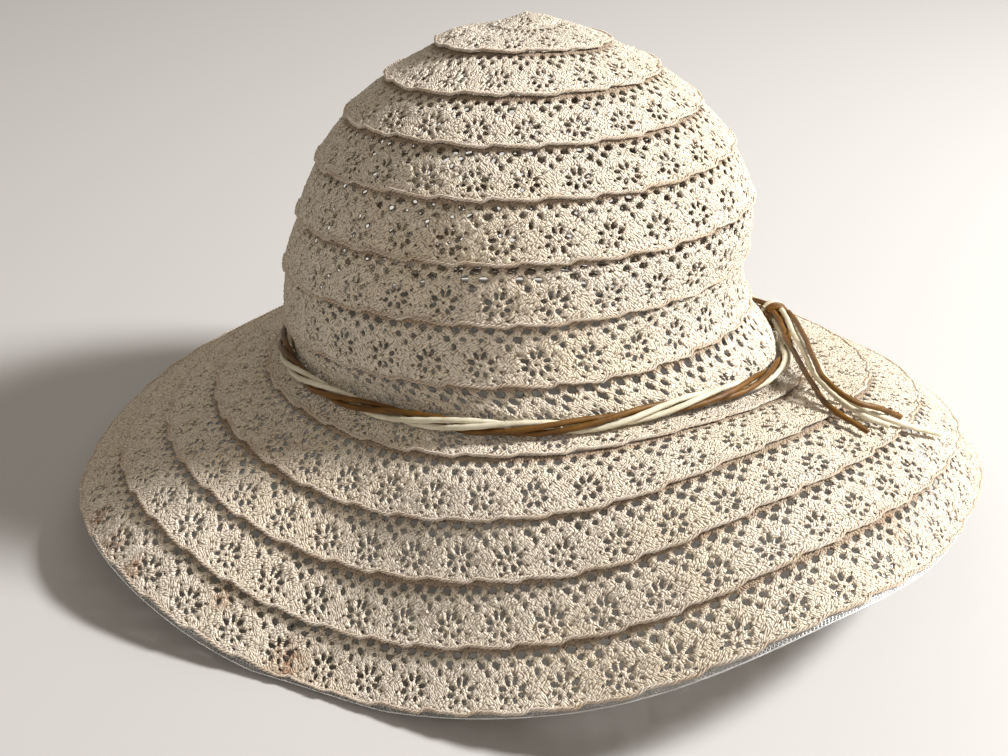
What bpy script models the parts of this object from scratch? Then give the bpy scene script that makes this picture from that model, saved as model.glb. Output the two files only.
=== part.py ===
"""Floppy sun hat of overlapping lace rows with a twisted cord band, resting on its brim."""
import math
from collections import namedtuple

import bmesh
import bpy
from mathutils import Matrix, Vector

# The hat is described upright on its own head line, z up from the cord band,
# and is then leaned and lifted until its brim rests on the floor at z = 0.

# Head line, where the crown meets the brim
SEAT_HALF_WIDTH = 0.0920
SEAT_HALF_DEPTH = 0.0890
DEPTH_RATIO = SEAT_HALF_DEPTH / SEAT_HALF_WIDTH
SEAT_WIDTH = 0.0025
LIP_WIDTH = 0.0055

# Lace cloth: each row's lower edge stands proud over the row below it
LACE_THICKNESS = 0.0018
ROW_STEP = 0.0012
STEP_RUN = 0.0006
ROW_BELLY = 0.45 * ROW_STEP
GAP = 0.0003

# Row edges of the brim, measured down the cloth from the band seat
FIRST_BRIM_ROW = 0.0095
SECOND_BRIM_ROW = 0.0310
ROW_PITCH = 0.0194
BRIM_EDGES = [FIRST_BRIM_ROW] + [SECOND_BRIM_ROW + ROW_PITCH * k for k in range(4)]
BRIM_SLANT = BRIM_EDGES[-1]

# Clear edging strip sewn under the brim edge
STRIP_WIDTH = 0.0070
STRIP_THICKNESS = 0.0008

# Cord band of four strands, twisted like a loose rope
CORD_DIAMETER = 0.0020
ROPE_RADIUS = 0.0017
ROPE_TURNS = 8
ROPE_PHASE = 123.0
BAND_RISE = 0.0036
BAND_STAND_OFF = 0.0031
BAND_RISE_ON_UPTURN = 0.0060

# Knot on the band: the band stands off the crown there, wrapped in three turns of cord
KNOT_AZIMUTH = 12.5
KNOT_LIFT = 0.0022
KNOT_SPREAD = 7.0
KNOT_TURN_RADIUS = 0.0041
KNOT_TURN_SIDES = 14

# Tails of the cords, from the knot out over the brim
TAIL_SPACING = 0.0060

# How the hat leans when its brim rests on the floor
LEAN_BACK = 6.0
LEAN_LEFT = 3.7
PLACE = Vector((-0.0001, -0.0011, 0.0599))

# Small round top of the crown, and where the wall inside it closes
TOP_DISC_RADIUS = 0.0045
INNER_DISC_RADIUS = 0.0060

CROWN_SIDES = 50
BRIM_SIDES = 68
BAND_POINTS = 52
DROOP_STEPS = 12
TAIL_STEPS = 20

# Sections of the crown: its foot, the top of the band, then each row edge up to the top
CrownEdge = namedtuple("CrownEdge", "height centre_x half_width")
CROWN_EDGES = (
    CrownEdge(-0.0009, -0.0003, 0.0899),
    CrownEdge(0.0040, -0.0013, 0.0895),
    CrownEdge(0.0107, -0.0064, 0.0868),
    CrownEdge(0.0309, -0.0066, 0.0853),
    CrownEdge(0.0502, -0.0040, 0.0818),
    CrownEdge(0.0693, -0.0026, 0.0747),
    CrownEdge(0.0843, -0.0026, 0.0635),
    CrownEdge(0.0966, -0.0023, 0.0490),
    CrownEdge(0.1060, -0.0020, 0.0315),
    CrownEdge(0.1128, -0.0015, 0.0127),
    CrownEdge(0.1156, -0.0012, 0.0000),
)

# Dents and swellings of the soft crown, placed by azimuth and by cloth length up from the band
Dent = namedtuple("Dent", "azimuth up spread_angle spread_up depth")
CROWN_DENTS = (
    Dent(azimuth=325.0, up=0.024, spread_angle=26.0, spread_up=0.010, depth=0.0045),
    Dent(azimuth=237.0, up=0.034, spread_angle=16.0, spread_up=0.018, depth=0.0025),
    Dent(azimuth=285.0, up=0.078, spread_angle=24.0, spread_up=0.016, depth=0.0015),
    Dent(azimuth=345.0, up=0.052, spread_angle=22.0, spread_up=0.014, depth=-0.0020),
    Dent(azimuth=60.0, up=0.040, spread_angle=25.0, spread_up=0.020, depth=0.0020),
    Dent(azimuth=140.0, up=0.055, spread_angle=25.0, spread_up=0.020, depth=0.0020),
    Dent(azimuth=180.0, up=0.138, spread_angle=38.0, spread_up=0.007, depth=-0.0024),
    Dent(azimuth=20.0, up=0.151, spread_angle=55.0, spread_up=0.009, depth=-0.0014),
)

# Where the crown's cloth has slipped towards the top
CROWN_SLIP = Dent(azimuth=270.0, up=0.130, spread_angle=42.0, spread_up=0.012, depth=0.0038)

# The brim round the hat: height of the band's seat, and droop below level in degrees at the
# brim's root, half way out and at its edge
Droop = namedtuple("Droop", "azimuth seat root middle tip")
BRIM_DROOP = (
    Droop(0.0, -0.0126, -2.9, 28.6, 67.5),
    Droop(30.0, -0.0096, 13.0, 36.0, 57.3),
    Droop(60.0, -0.0052, 17.0, 29.5, 40.0),
    Droop(90.0, -0.0028, 15.5, 24.5, 33.5),
    Droop(120.0, -0.0017, 15.5, 21.8, 31.5),
    Droop(150.0, -0.0016, 16.8, 26.1, 34.6),
    Droop(180.0, -0.0023, 21.7, 26.2, 39.3),
    Droop(210.0, -0.0019, 30.5, 23.1, 45.1),
    Droop(240.0, -0.0025, 39.0, 49.2, 45.7),
    Droop(270.0, -0.0032, 10.3, 51.2, 34.3),
    Droop(300.0, -0.0035, -10.7, 26.4, 34.2),
    Droop(330.0, -0.0089, -17.1, 24.9, 75.0),
)

# How far the clear strip shows past the lace edge
StripPeek = namedtuple("StripPeek", "azimuth peek")
STRIP_PEEK = (
    StripPeek(0.0, 0.0008),
    StripPeek(45.0, 0.0006),
    StripPeek(90.0, 0.0006),
    StripPeek(135.0, 0.0006),
    StripPeek(180.0, 0.0006),
    StripPeek(225.0, 0.0014),
    StripPeek(270.0, 0.0010),
    StripPeek(315.0, 0.0026),
)

# Turns of the knot, side by side along the band
KnotTurn = namedtuple("KnotTurn", "name colour azimuth")
KNOT_TURNS = (
    KnotTurn("knot_tan_1", "tan", 11.0),
    KnotTurn("knot_tan_2", "tan", 12.5),
    KnotTurn("knot_cream", "cream", 14.0),
)

# Route of each tail: cloth length down the brim and height off it in metres, and azimuth
Route = namedtuple("Route", "down azimuth out")
CREAM_LONG_TAIL = (
    Route(0.0063, 9.4, 0.0056),
    Route(0.0056, -3.0, 0.0062),
    Route(0.0088, -14.0, 0.0060),
    Route(0.0169, -26.2, 0.0046),
    Route(0.0238, -31.4, 0.0032),
    Route(0.0299, -33.1, 0.0019),
    Route(0.0380, -33.7, 0.0017),
    Route(0.0454, -32.1, 0.0017),
    Route(0.0528, -29.4, 0.0017),
    Route(0.0603, -25.1, 0.0017),
)
TAN_LONG_TAIL = (
    Route(0.0049, 9.4, 0.0086),
    Route(0.0054, -4.0, 0.0100),
    Route(0.0082, -14.0, 0.0101),
    Route(0.0122, -23.0, 0.0096),
    Route(0.0198, -32.2, 0.0083),
    Route(0.0254, -35.2, 0.0073),
    Route(0.0310, -36.4, 0.0063),
    Route(0.0366, -35.8, 0.0055),
    Route(0.0413, -33.3, 0.0047),
    Route(0.0470, -29.7, 0.0019),
)
CREAM_SHORT_TAIL = (
    Route(0.0023, 9.4, 0.0096),
    Route(0.0028, -4.0, 0.0092),
    Route(0.0053, -12.0, 0.0088),
    Route(0.0100, -21.5, 0.0074),
    Route(0.0169, -30.2, 0.0058),
    Route(0.0243, -34.2, 0.0044),
    Route(0.0311, -35.4, 0.0026),
    Route(0.0392, -35.4, 0.0017),
    Route(0.0467, -33.8, 0.0017),
)
TAN_SHORT_TAIL = (
    Route(-0.0002, 9.4, 0.0088),
    Route(0.0000, -4.0, 0.0082),
    Route(0.0026, -12.0, 0.0072),
    Route(0.0078, -21.5, 0.0050),
    Route(0.0142, -28.9, 0.0032),
    Route(0.0243, -36.3, 0.0021),
    Route(0.0324, -38.5, 0.0017),
    Route(0.0386, -38.8, 0.0017),
    Route(0.0443, -38.6, 0.0017),
)
TAILS = (
    ("tail_cream_long", "cream", CREAM_LONG_TAIL),
    ("tail_tan_long", "tan", TAN_LONG_TAIL),
    ("tail_cream_short", "cream", CREAM_SHORT_TAIL),
    ("tail_tan_short", "tan", TAN_SHORT_TAIL),
)


def ring_value(values, azimuth):
    """Smooth value at an azimuth, from values spread evenly round the hat."""
    count = len(values)
    place = (azimuth % 360.0) / 360.0 * count
    index = int(math.floor(place))
    part = place - index
    before, here, after, beyond = (values[(index + k) % count] for k in (-1, 0, 1, 2))
    bend = 2 * before - 5 * here + 4 * after - beyond
    twist = 3 * (here - after) + beyond - before
    return here + 0.5 * part * (after - before + part * (bend + part * twist))


def smooth_value(knots, values, x):
    """Smooth curve through the values at the knots, read at x."""
    last = len(knots) - 1
    index = 0
    while index < last - 1 and x > knots[index + 1]:
        index += 1

    def slope(k):
        low, high = max(k - 1, 0), min(k + 1, last)
        return (values[high] - values[low]) / (knots[high] - knots[low])

    span = knots[index + 1] - knots[index]
    t = (x - knots[index]) / span
    start, end = values[index], values[index + 1]
    rise_start, rise_end = slope(index) * span, slope(index + 1) * span
    return (start * (1 + 2 * t) * (1 - t) ** 2 + end * t * t * (3 - 2 * t)
            + rise_start * t * (1 - t) ** 2 - rise_end * t * t * (1 - t))


def crown_knots():
    """Cloth length up from the band at each row edge of the crown."""
    knots = [0.0]
    for low, high in zip(CROWN_EDGES, CROWN_EDGES[1:]):
        step = math.hypot(high.half_width - low.half_width, high.height - low.height)
        knots.append(knots[-1] + step)
    return knots


CROWN_KNOTS = crown_knots()
CROWN_LENGTH = CROWN_KNOTS[-1]
CROWN_ROW_EDGES = CROWN_KNOTS[2:-1]


def seat_height(azimuth):
    """Height of the band's seat round the hat."""
    return ring_value([row.seat for row in BRIM_DROOP], azimuth)


def dent_depth(dent, up, azimuth):
    """Depth of one dent at one place of the crown."""
    turn = (azimuth - dent.azimuth + 180.0) % 360.0 - 180.0
    along = (up - dent.up) / dent.spread_up
    return dent.depth * math.exp(-0.5 * ((turn / dent.spread_angle) ** 2 + along ** 2))


def crown_point(up, azimuth, out):
    """Point of the crown, a cloth length up from the band and a distance out of its face."""
    angle = math.radians(azimuth)
    seat = seat_height(azimuth)
    up += dent_depth(CROWN_SLIP, up, azimuth)

    def section(length):
        height, centre, width = (
            smooth_value(CROWN_KNOTS, [edge[k] for edge in CROWN_EDGES], length) for k in range(3))
        fade = max(1.0 - length / CROWN_ROW_EDGES[0], 0.0)
        return height + seat * fade, centre, width

    step = 0.0005
    low, high = section(max(up - step, 0.0)), section(min(up + step, CROWN_LENGTH))
    rise = high[0] - low[0]
    shrink = low[2] - high[2] + (low[1] - high[1]) * math.cos(angle)
    slant = math.hypot(rise, shrink)
    height, centre, width = section(up)
    out -= sum(dent_depth(dent, up, azimuth) for dent in CROWN_DENTS)
    width += out * rise / slant
    return Vector((
        centre + width * math.cos(angle),
        width * DEPTH_RATIO * math.sin(angle),
        height + out * shrink / slant,
    ))


def brim_droop(down, azimuth):
    """Slope of the brim below level, in radians, at a cloth length down from the seat."""
    t = min(max(down / BRIM_SLANT, 0.0), 1.1)
    root = ring_value([row.root for row in BRIM_DROOP], azimuth)
    middle = ring_value([row.middle for row in BRIM_DROOP], azimuth)
    tip = ring_value([row.tip for row in BRIM_DROOP], azimuth)
    droop = root * (1 - t) * (1 - 2 * t) + middle * 4 * t * (1 - t) + tip * t * (2 * t - 1)
    return math.radians(droop)


def brim_point(down, azimuth, out):
    """Point of the brim, a cloth length down from the seat and a distance up out of its face."""
    reach, drop = min(down, 0.0), -seat_height(azimuth)
    droop = 0.0
    if down > 0.0:
        step = down / DROOP_STEPS
        for k in range(DROOP_STEPS):
            slope = brim_droop(step * (k + 0.5), azimuth)
            reach += step * math.cos(slope)
            drop += step * math.sin(slope)
        droop = brim_droop(down, azimuth)
    reach += out * math.sin(droop)
    angle = math.radians(azimuth)
    away = Vector((math.cos(angle) / SEAT_HALF_WIDTH, math.sin(angle) / SEAT_HALF_DEPTH, 0.0))
    away.normalize()
    foot = Vector((SEAT_HALF_WIDTH * math.cos(angle), SEAT_HALF_DEPTH * math.sin(angle), 0.0))
    return foot + away * reach + Vector((0.0, 0.0, out * math.cos(droop) - drop))


def leaned(point):
    """The point on the hat as it leans, before the floor flattens its edge."""
    lean_back = Matrix.Rotation(math.radians(-LEAN_BACK), 3, "X")
    lean_left = Matrix.Rotation(math.radians(-LEAN_LEFT), 3, "Y")
    return lean_back @ lean_left @ point + PLACE


def row_profile(edges, start, face):
    """Length and face height of a terraced face whose rows step down at each edge."""
    profile = []
    for edge in edges:
        middle = (start + edge) / 2
        profile += [(start, face), (middle, face + ROW_BELLY), (edge, face + ROW_STEP)]
        start = edge + STEP_RUN
    return profile


def evenly(start, end, count):
    """Values spread evenly from start to end, with both ends."""
    return [start + (end - start) * k / (count - 1) for k in range(count)]


def new_object(name, mesh_builder, material):
    """A named object whose mesh comes from a bmesh that the builder fills."""
    mesh = bpy.data.meshes.new(name)
    body = bmesh.new()
    mesh_builder(body)
    bmesh.ops.recalc_face_normals(body, faces=body.faces)
    body.to_mesh(mesh)
    body.free()
    mesh.shade_smooth()
    mesh.set_sharp_from_angle(angle=math.radians(40))
    mesh.materials.append(material)
    thing = bpy.data.objects.new(name, mesh)
    bpy.context.collection.objects.link(thing)
    return thing


def skin_rings(body, rings, closed):
    """Faces between neighbouring rings of vertices; closed joins the last to the first."""
    count = len(rings[0])
    pairs = list(zip(rings, rings[1:]))
    if closed:
        pairs.append((rings[-1], rings[0]))
    for low, high in pairs:
        for k in range(count):
            n = (k + 1) % count
            body.faces.new((low[k], low[n], high[n]))
            body.faces.new((low[k], high[n], high[k]))


def azimuths(sides):
    """Azimuths spread evenly round the hat."""
    return [360.0 * k / sides for k in range(sides)]


def make_crown(body):
    """Hollow crown: terraced rows outside, a smooth wall inside, closed at the top."""
    def corner(up, azimuth, out):
        point = crown_point(up, azimuth, out)
        point.z = max(point.z, crown_point(0.0, azimuth, 0.0).z)
        return body.verts.new(leaned(point))

    def ring(up, out):
        return [corner(up, azimuth, out) for azimuth in azimuths(CROWN_SIDES)]

    edges = [CROWN_LENGTH - up for up in reversed(CROWN_ROW_EDGES)] + [CROWN_LENGTH]
    outer = row_profile(edges, TOP_DISC_RADIUS, -ROW_STEP)
    outer_rings = [ring(CROWN_LENGTH - down, face) for down, face in outer]
    inside = evenly(0.0, CROWN_LENGTH - INNER_DISC_RADIUS, 8)
    inner_rings = [ring(up, -LACE_THICKNESS - ROW_STEP) for up in inside]
    skin_rings(body, outer_rings + inner_rings, closed=False)
    for rim, out in ((outer_rings[0], -ROW_STEP), (inner_rings[-1], -LACE_THICKNESS - ROW_STEP)):
        top = corner(CROWN_LENGTH, 0.0, out)
        for k, spot in enumerate(rim):
            body.faces.new((spot, rim[(k + 1) % len(rim)], top))


def edge_lift(down, azimuth):
    """How far cloth at the brim edge rides up where the strip under it lies on the floor."""
    depth = ROW_STEP + LACE_THICKNESS + GAP + STRIP_THICKNESS
    under = leaned(brim_point(max(down, 0.0), azimuth, -depth)).z
    return max(0.0, -under)


def brim_corner(body, down, azimuth, out):
    """Vertex of the resting brim or of the strip under it."""
    placed = leaned(brim_point(down, azimuth, out))
    placed.z = max(placed.z + edge_lift(down, azimuth), 0.0)
    return body.verts.new(placed)


def make_brim(body):
    """Wide drooping brim: terraced rows on top, a smooth face below."""
    under = -ROW_STEP - LACE_THICKNESS
    inner = -SEAT_WIDTH - LIP_WIDTH
    upper = [(inner, -ROW_STEP)] + row_profile(BRIM_EDGES, -SEAT_WIDTH, -ROW_STEP)
    lower = [(BRIM_SLANT, under)]
    lower += [(down, under) for down in evenly(BRIM_SLANT - STRIP_WIDTH, 0.0, 7)]
    lower.append((inner, under))
    rings = [
        [brim_corner(body, down, a, out) for a in azimuths(BRIM_SIDES)] for down, out in upper + lower
    ]
    skin_rings(body, rings, closed=True)


def make_strip(body):
    """Clear strip under the brim edge, peeping out past the lace."""
    top = -ROW_STEP - LACE_THICKNESS - GAP
    peeks = [row.peek for row in STRIP_PEEK]

    def ring(overlap, peek_share, out):
        return [
            brim_corner(body, BRIM_SLANT - overlap + peek_share * ring_value(peeks, a), a, out)
            for a in azimuths(BRIM_SIDES)
        ]

    stations = ((0.0, 1.0), (0.0, 0.0), (STRIP_WIDTH, 0.0))
    rings = [ring(overlap, share, top) for overlap, share in stations]
    rings += [ring(overlap, share, top - STRIP_THICKNESS) for overlap, share in reversed(stations)]
    skin_rings(body, rings, closed=True)


def band_centre(azimuth):
    """Centre line of the cord band, in the corner between crown and brim."""
    root = min(ring_value([row.root for row in BRIM_DROOP], azimuth), 0.0)
    rise = BAND_RISE - BAND_RISE_ON_UPTURN * math.sin(math.radians(root))
    turn = (azimuth - KNOT_AZIMUTH + 180.0) % 360.0 - 180.0
    lift = KNOT_LIFT * math.exp(-0.5 * (turn / KNOT_SPREAD) ** 2)
    stretch = 1.0 - seat_height(azimuth) / CROWN_ROW_EDGES[0]
    return crown_point((rise + lift) / stretch, azimuth, BAND_STAND_OFF + lift)


def band_frame(azimuth):
    """Centre of the band at an azimuth, and the two directions across it."""
    along = (band_centre(azimuth + 1.0) - band_centre(azimuth - 1.0)).normalized()
    side = along.cross(Vector((0.0, 0.0, 1.0))).normalized()
    return band_centre(azimuth), side, side.cross(along)


def strand_point(azimuth, quarter):
    """Point of one of the four strands, which wind slowly round the band's centre line."""
    here, side, over = band_frame(azimuth)
    turn = math.radians(ROPE_TURNS * azimuth + ROPE_PHASE + 90.0 * quarter)
    return here + side * (ROPE_RADIUS * math.cos(turn)) + over * (ROPE_RADIUS * math.sin(turn))


def ring_round_band(azimuth, radius, sides):
    """Points of one turn of cord round the band."""
    here, side, over = band_frame(azimuth)
    turns = [2 * math.pi * k / sides for k in range(sides)]
    return [here + side * (radius * math.cos(t)) + over * (radius * math.sin(t)) for t in turns]


def tail_points(route):
    """Evenly spaced points along a tail's route over the brim."""
    knots = list(range(len(route)))
    columns = list(zip(*route))
    fine = []
    for k in range(TAIL_STEPS * (len(route) - 1) + 1):
        down, azimuth, out = (smooth_value(knots, column, k / TAIL_STEPS) for column in columns)
        fine.append(brim_point(down, azimuth, out))
    run = [0.0]
    for here, there in zip(fine, fine[1:]):
        run.append(run[-1] + (there - here).length)
    count = round(run[-1] / TAIL_SPACING) + 1
    points = []
    for goal in evenly(0.0, run[-1], count):
        k = min(sum(length < goal for length in run[1:]), len(fine) - 2)
        points.append(fine[k].lerp(fine[k + 1], (goal - run[k]) / (run[k + 1] - run[k])))
    return points


def make_cord(name, points, diameter, material, loop=False, resolution=2):
    """Round cord along the points, with flat ends unless it is a loop."""
    curve = bpy.data.curves.new(name, "CURVE")
    curve.dimensions = "3D"
    curve.bevel_depth = diameter / 2
    curve.bevel_resolution = resolution
    curve.use_fill_caps = not loop
    spline = curve.splines.new("POLY")
    spline.points.add(len(points) - 1)
    for spot, point in zip(spline.points, points):
        spot.co = (*point, 1.0)
    spline.use_cyclic_u = loop
    curve.materials.append(material)
    cord = bpy.data.objects.new(name, curve)
    bpy.context.collection.objects.link(cord)
    return cord


def make_material(name, colour, roughness):
    """Principled material of one plain finish."""
    material = bpy.data.materials.new(name)
    material.use_nodes = True
    shader = material.node_tree.nodes["Principled BSDF"]
    shader.inputs["Base Color"].default_value = (*colour, 1.0)
    shader.inputs["Roughness"].default_value = roughness
    return material


def main():
    """Builds the hat."""
    for thing in list(bpy.data.objects):
        bpy.data.objects.remove(thing, do_unlink=True)

    lace = make_material("ecru_lace", (0.74, 0.66, 0.55), 0.90)
    brim_lace = make_material("ecru_lace_brim", (0.74, 0.66, 0.55), 0.90)
    clear = make_material("clear_strip", (0.82, 0.83, 0.82), 0.35)
    new_object("crown", make_crown, lace)
    new_object("brim", make_brim, brim_lace)
    new_object("edging_strip", make_strip, clear)

    colours = {"cream": (0.80, 0.76, 0.62), "tan": (0.36, 0.20, 0.06)}
    for pair, (word, colour) in enumerate(colours.items()):
        for k in range(2):
            material = make_material(f"{word}_band_cord_{k + 1}", colour, 0.45)
            points = [leaned(strand_point(a, 2 * pair + k)) for a in azimuths(BAND_POINTS)]
            make_cord(f"band_{word}_{k + 1}", points, CORD_DIAMETER, material, loop=True, resolution=1)
    for turn in KNOT_TURNS:
        material = make_material(f"{turn.name}_cord", colours[turn.colour], 0.45)
        ring = ring_round_band(turn.azimuth, KNOT_TURN_RADIUS, KNOT_TURN_SIDES)
        points = [leaned(point) for point in ring]
        make_cord(turn.name, points, CORD_DIAMETER, material, loop=True, resolution=1)
    for name, word, route in TAILS:
        material = make_material(f"{name}_cord", colours[word], 0.45)
        make_cord(name, [leaned(point) for point in tail_points(route)], CORD_DIAMETER, material)


main()
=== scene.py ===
"""Visual model of the lace sun hat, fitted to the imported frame."""
import math
from collections import namedtuple

import bpy
import numpy as np
from mathutils import Matrix, Vector
from mathutils.geometry import delaunay_2d_cdt


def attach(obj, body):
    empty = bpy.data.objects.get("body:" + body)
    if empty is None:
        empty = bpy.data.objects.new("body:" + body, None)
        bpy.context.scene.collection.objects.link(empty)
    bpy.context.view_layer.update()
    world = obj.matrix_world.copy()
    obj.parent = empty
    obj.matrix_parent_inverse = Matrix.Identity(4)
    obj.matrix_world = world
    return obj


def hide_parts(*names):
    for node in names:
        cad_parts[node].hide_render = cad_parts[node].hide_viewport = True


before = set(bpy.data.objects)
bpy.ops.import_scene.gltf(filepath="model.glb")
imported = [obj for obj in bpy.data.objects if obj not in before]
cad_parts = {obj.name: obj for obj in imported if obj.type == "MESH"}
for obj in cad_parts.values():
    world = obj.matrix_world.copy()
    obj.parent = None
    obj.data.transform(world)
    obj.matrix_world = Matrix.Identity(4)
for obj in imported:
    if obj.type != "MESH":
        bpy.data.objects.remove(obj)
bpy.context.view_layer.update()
MM = 0.001

# Head line, where the crown meets the brim
SEAT_HALF_WIDTH = 0.0920
SEAT_HALF_DEPTH = 0.0890
DEPTH_RATIO = SEAT_HALF_DEPTH / SEAT_HALF_WIDTH

# Lace cloth of the solids under the visual lace
LACE_THICKNESS = 0.0018
ROW_STEP = 0.0012
GAP = 0.0003

# Row edges of the brim, measured down the cloth from the band seat
FIRST_BRIM_ROW = 0.0095
SECOND_BRIM_ROW = 0.0310
ROW_PITCH = 0.0194
BRIM_EDGES = [FIRST_BRIM_ROW] + [SECOND_BRIM_ROW + ROW_PITCH * k for k in range(4)]
BRIM_SLANT = BRIM_EDGES[-1]

# Clear strip under the brim edge: its solid, how far under the lace its threads run, and how
# much of its peek past the edge they show
STRIP_WIDTH = 0.0070
STRIP_THICKNESS = 0.0008
STRIP_BELOW = 0.0005
STRIP_SHOWS = 0.45

# Cloth length of the crown's lowest row, and how its hidden end tucks in behind the band
FOOT_LENGTH = 0.0194
FOOT_END = 0.97
FOOT_TUCK = 0.05

# Cord band of four strands, twisted like a loose rope
CORD_DIAMETER = 0.0020
ROPE_RADIUS = 0.0017
ROPE_TURNS = 8
ROPE_PHASE = 123.0
BAND_RISE = 0.0036
BAND_STAND_OFF = 0.0031
BAND_RISE_ON_UPTURN = 0.0060
KNOT_AZIMUTH = 12.5
KNOT_LIFT = 0.0022
KNOT_SPREAD = 7.0
KNOT_TURN_RADIUS = 0.0041

# How the hat leans when its brim rests on the floor, and the least height of its lace
LEAN_BACK = 6.0
LEAN_LEFT = 3.7
FLOOR_CLEARANCE = 0.0002
PLACE = Vector((-0.0001, -0.0011, 0.0599))
LEAN = (Matrix.Rotation(math.radians(-LEAN_BACK), 3, "X")
        @ Matrix.Rotation(math.radians(-LEAN_LEFT), 3, "Y"))

# Sections of the crown: its foot, the top of the band, then each row edge up to the top
CrownEdge = namedtuple("CrownEdge", "height centre_x half_width")
CROWN_EDGES = (
    CrownEdge(-0.0009, -0.0003, 0.0899),
    CrownEdge(0.0040, -0.0013, 0.0895),
    CrownEdge(0.0107, -0.0064, 0.0868),
    CrownEdge(0.0309, -0.0066, 0.0853),
    CrownEdge(0.0502, -0.0040, 0.0818),
    CrownEdge(0.0693, -0.0026, 0.0747),
    CrownEdge(0.0843, -0.0026, 0.0635),
    CrownEdge(0.0966, -0.0023, 0.0490),
    CrownEdge(0.1060, -0.0020, 0.0315),
    CrownEdge(0.1128, -0.0015, 0.0127),
    CrownEdge(0.1156, -0.0012, 0.0000),
)

# Dents and swellings of the soft crown, placed by azimuth and by cloth length up from the band
Dent = namedtuple("Dent", "azimuth up spread_angle spread_up depth")
CROWN_DENTS = (
    Dent(325.0, 0.024, 26.0, 0.010, 0.0045),
    Dent(237.0, 0.034, 16.0, 0.018, 0.0025),
    Dent(285.0, 0.078, 24.0, 0.016, 0.0015),
    Dent(345.0, 0.052, 22.0, 0.014, -0.0020),
    Dent(60.0, 0.040, 25.0, 0.020, 0.0020),
    Dent(140.0, 0.055, 25.0, 0.020, 0.0020),
    Dent(180.0, 0.138, 38.0, 0.007, -0.0024),
    Dent(20.0, 0.151, 55.0, 0.009, -0.0014),
)

# Where the crown's cloth has slipped towards the top
CROWN_SLIP = Dent(270.0, 0.130, 42.0, 0.012, 0.0038)

# The brim round the hat: seat height, and droop below level in degrees at root, middle and edge
Droop = namedtuple("Droop", "azimuth seat root middle tip")
BRIM_DROOP = (
    Droop(0.0, -0.0126, -2.9, 28.6, 67.5),
    Droop(30.0, -0.0096, 13.0, 36.0, 57.3),
    Droop(60.0, -0.0052, 17.0, 29.5, 40.0),
    Droop(90.0, -0.0028, 15.5, 24.5, 33.5),
    Droop(120.0, -0.0017, 15.5, 21.8, 31.5),
    Droop(150.0, -0.0016, 16.8, 26.1, 34.6),
    Droop(180.0, -0.0023, 21.7, 26.2, 39.3),
    Droop(210.0, -0.0019, 30.5, 23.1, 45.1),
    Droop(240.0, -0.0025, 39.0, 49.2, 45.7),
    Droop(270.0, -0.0032, 10.3, 51.2, 34.3),
    Droop(300.0, -0.0035, -10.7, 26.4, 34.2),
    Droop(330.0, -0.0089, -17.1, 24.9, 75.0),
)

# How far the strip peeks past the brim edge, every 45 degrees round the hat from its right
STRIP_PEEKS = (0.0008, 0.0006, 0.0006, 0.0006, 0.0006, 0.0014, 0.0010, 0.0026)

# Turns of cord that tie the band
KnotTurn = namedtuple("KnotTurn", "name colour azimuth")
KNOT_TURNS = (
    KnotTurn("knot_tan_1", "tan", 11.0),
    KnotTurn("knot_tan_2", "tan", 12.5),
    KnotTurn("knot_cream", "cream", 14.0),
)

# Route of each tail: cloth length down the brim and height off it in metres, and azimuth
Route = namedtuple("Route", "down azimuth out")
CREAM_LONG_TAIL = (
    Route(0.0063, 9.4, 0.0056),
    Route(0.0056, -3.0, 0.0062),
    Route(0.0088, -14.0, 0.0060),
    Route(0.0169, -26.2, 0.0046),
    Route(0.0238, -31.4, 0.0032),
    Route(0.0299, -33.1, 0.0019),
    Route(0.0380, -33.7, 0.0017),
    Route(0.0454, -32.1, 0.0017),
    Route(0.0528, -29.4, 0.0017),
    Route(0.0603, -25.1, 0.0017),
)
TAN_LONG_TAIL = (
    Route(0.0049, 9.4, 0.0086),
    Route(0.0054, -4.0, 0.0100),
    Route(0.0082, -14.0, 0.0101),
    Route(0.0122, -23.0, 0.0096),
    Route(0.0198, -32.2, 0.0083),
    Route(0.0254, -35.2, 0.0073),
    Route(0.0310, -36.4, 0.0063),
    Route(0.0366, -35.8, 0.0055),
    Route(0.0413, -33.3, 0.0047),
    Route(0.0470, -29.7, 0.0019),
)
CREAM_SHORT_TAIL = (
    Route(0.0023, 9.4, 0.0096),
    Route(0.0028, -4.0, 0.0092),
    Route(0.0053, -12.0, 0.0088),
    Route(0.0100, -21.5, 0.0074),
    Route(0.0169, -30.2, 0.0058),
    Route(0.0243, -34.2, 0.0044),
    Route(0.0311, -35.4, 0.0026),
    Route(0.0392, -35.4, 0.0017),
    Route(0.0467, -33.8, 0.0017),
)
TAN_SHORT_TAIL = (
    Route(-0.0002, 9.4, 0.0088),
    Route(0.0000, -4.0, 0.0082),
    Route(0.0026, -12.0, 0.0072),
    Route(0.0078, -21.5, 0.0050),
    Route(0.0142, -28.9, 0.0032),
    Route(0.0243, -36.3, 0.0021),
    Route(0.0324, -38.5, 0.0017),
    Route(0.0386, -38.8, 0.0017),
    Route(0.0443, -38.6, 0.0017),
)
Tail = namedtuple("Tail", "node colour route")
TAILS = (
    Tail("tail_cream_long", "cream", CREAM_LONG_TAIL),
    Tail("tail_tan_long", "tan", TAN_LONG_TAIL),
    Tail("tail_cream_short", "cream", CREAM_SHORT_TAIL),
    Tail("tail_tan_short", "tan", TAN_SHORT_TAIL),
)


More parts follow.
